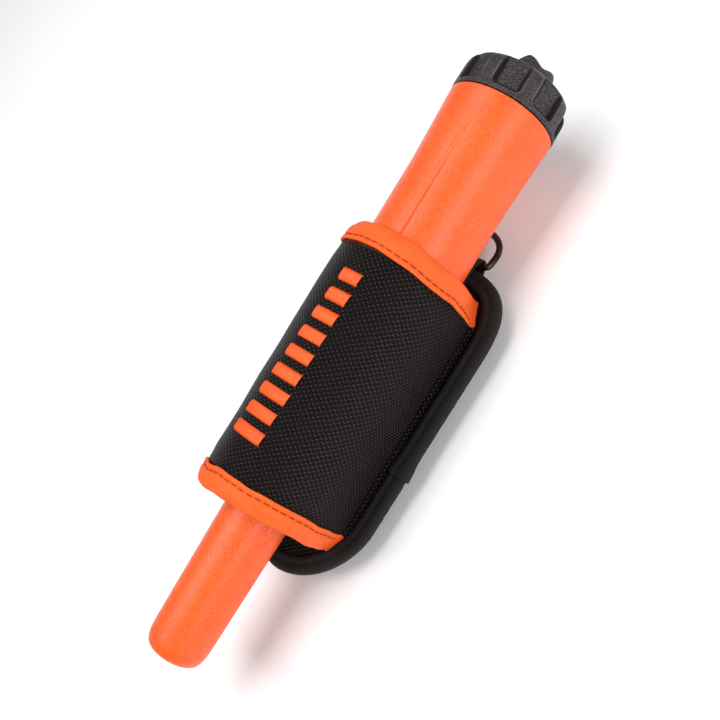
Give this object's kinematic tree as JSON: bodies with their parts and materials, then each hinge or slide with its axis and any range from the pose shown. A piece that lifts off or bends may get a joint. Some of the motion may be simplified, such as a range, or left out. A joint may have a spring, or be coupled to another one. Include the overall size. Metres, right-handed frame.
{
  "type": "pinpointer probe",
  "caption": "Handheld metal-detecting pinpointer probe with a screw cap and power button, held in a belt holster with trimmed sleeve, padded back panel and D-ring.",
  "frame": {"origin": "below the middle of the object, on the outer face of the belt loop", "axes": "+X across the holster, +Y along the probe from its tip to its cap, +Z away from the wearer"},
  "size_m": [0.0578, 0.23, 0.056],
  "materials": {
    "orange_plastic": "satin, fine spark texture",
    "black_plastic": "fine grained matt",
    "black_rubber": "matt",
    "black_nylon": "basket-weave ballistic nylon",
    "orange_nylon": "fine plain-weave nylon, single-stitched",
    "webbing": "ribbed nylon tape",
    "lining_cloth": "plain tricot",
    "black_steel": "black, half gloss",
    "ferrite": "sintered, dull",
    "copper": "enamelled wire",
    "natural_plastic": "moulded, natural",
    "board": "solder-masked glass laminate",
    "chip": "moulded epoxy",
    "tinned": "tinned",
    "brass": "bright",
    "clear": "clear moulded lens",
    "battery_case": "printed metal can, plain",
    "foam": "closed-cell foam"
  },
  "bodies": {
    "holster": {"back_panel": "black_nylon", "edge_binding": "webbing", "sleeve": "black_nylon", "sleeve_lining": "lining_cloth", "upper_trim": "orange_nylon", "lower_trim": "orange_nylon", "belt_loop": "webbing", "ring_tab": "webbing"},
    "d_ring": {"d_ring": "black_steel"},
    "probe": {"shell": "orange_plastic", "ferrite_rod": "ferrite", "rod_cushion": "foam", "coil_former": "natural_plastic", "search_coil": "copper", "coil_lead": "copper", "main_board": "board", "microcontroller": "chip", "coil_driver": "chip", "crystal": "tinned", "capacitor_left": "tinned", "capacitor_right": "tinned", "motor_saddle": "black_rubber", "vibration_motor": "tinned", "piezo_buzzer": "brass", "led": "clear", "led_lens": "clear", "battery_chassis": "natural_plastic", "contact_strip_upper": "brass", "contact_strip_lower": "brass", "battery_contact_left": "brass", "battery_contact_right": "brass"},
    "motor_weight": {"motor_shaft": "tinned", "eccentric_weight": "brass"},
    "battery": {"battery": "battery_case"},
    "cap_seal": {"o_ring": "black_rubber"},
    "cap": {"cap": "black_plastic", "battery_pad": "foam", "switch_board": "board", "tactile_switch": "chip"},
    "power_button": {"power_button": "black_rubber"}
  },
  "joints": [
    {"name": "probe_slide", "type": "slide", "parent": "holster", "child": "probe", "axis": [0, 1, 0], "range_m": [0, 0.19]},
    {"name": "cap_rise", "type": "slide", "parent": "probe", "child": "cap_seal", "axis": [0, 1, 0], "range_m": [0, 0.01]},
    {"name": "cap_turn", "type": "hinge", "parent": "cap_seal", "child": "cap", "pos_m": [0, 0.1, 0.0323], "axis": [0, 1, 0], "range_deg": [0, 1205]},
    {"name": "button_press", "type": "slide", "parent": "cap", "child": "power_button", "axis": [0, -1, 0], "range_m": [0, 0.0005], "stiffness_N_per_m": 1500, "springref_m": -0.0006},
    {"name": "battery_rise", "type": "slide", "parent": "probe", "child": "battery", "axis": [0, 1, 0], "range_m": [0, 0.0016]},
    {"name": "motor_spin", "type": "hinge", "parent": "probe", "child": "motor_weight", "pos_m": [0, -0.002, 0.0378], "axis": [0, 1, 0], "continuous": true},
    {"name": "ring_swing", "type": "hinge", "parent": "holster", "child": "d_ring", "pos_m": [0, 0.053, 0.00965], "axis": [1, 0, 0], "range_deg": [-90, 20]}
  ],
  "couplings": [
    {"joint": "cap_turn", "follows": "cap_rise", "rad_per_m": 2094.4},
    {"joint": "battery_rise", "follows": "cap_rise", "ratio": 0.15}
  ]
}
